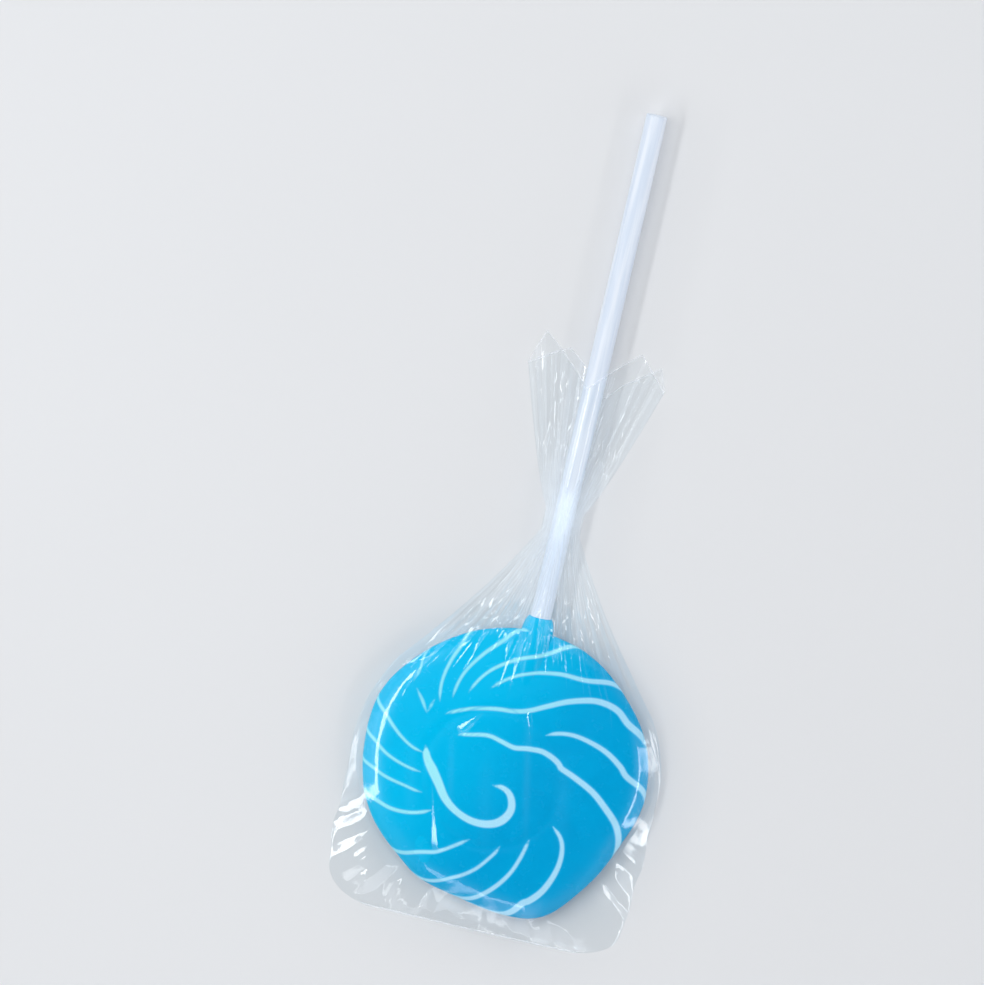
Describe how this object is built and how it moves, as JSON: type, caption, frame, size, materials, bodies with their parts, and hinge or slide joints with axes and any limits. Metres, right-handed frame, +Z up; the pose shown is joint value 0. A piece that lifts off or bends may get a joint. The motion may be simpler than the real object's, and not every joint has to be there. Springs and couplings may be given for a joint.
{
  "type": "swirl lollipop",
  "caption": "Flat round hard candy lollipop wound from a striped rope, on a plain stick, in clear film gathered to a neck with a pleated skirt.",
  "frame": {"origin": "middle of the flat spot of the wrapped disc that the lollipop lies on, under the middle of the disc", "axes": "+Z up, towards the shown face; +Y along the stick, away from the disc; +X to the right when seen from above with the stick pointing up"},
  "size_m": [0.0524, 0.141, 0.0077],
  "materials": {
    "candy": "glossy hard candy, blue with thin pale stripes",
    "stick": "smooth white stick",
    "film": "thin clear film, glossy"
  },
  "bodies": {
    "root": {"candy_disc": "candy", "stick": "stick", "film_wrapper": "film"}
  },
  "joints": []
}
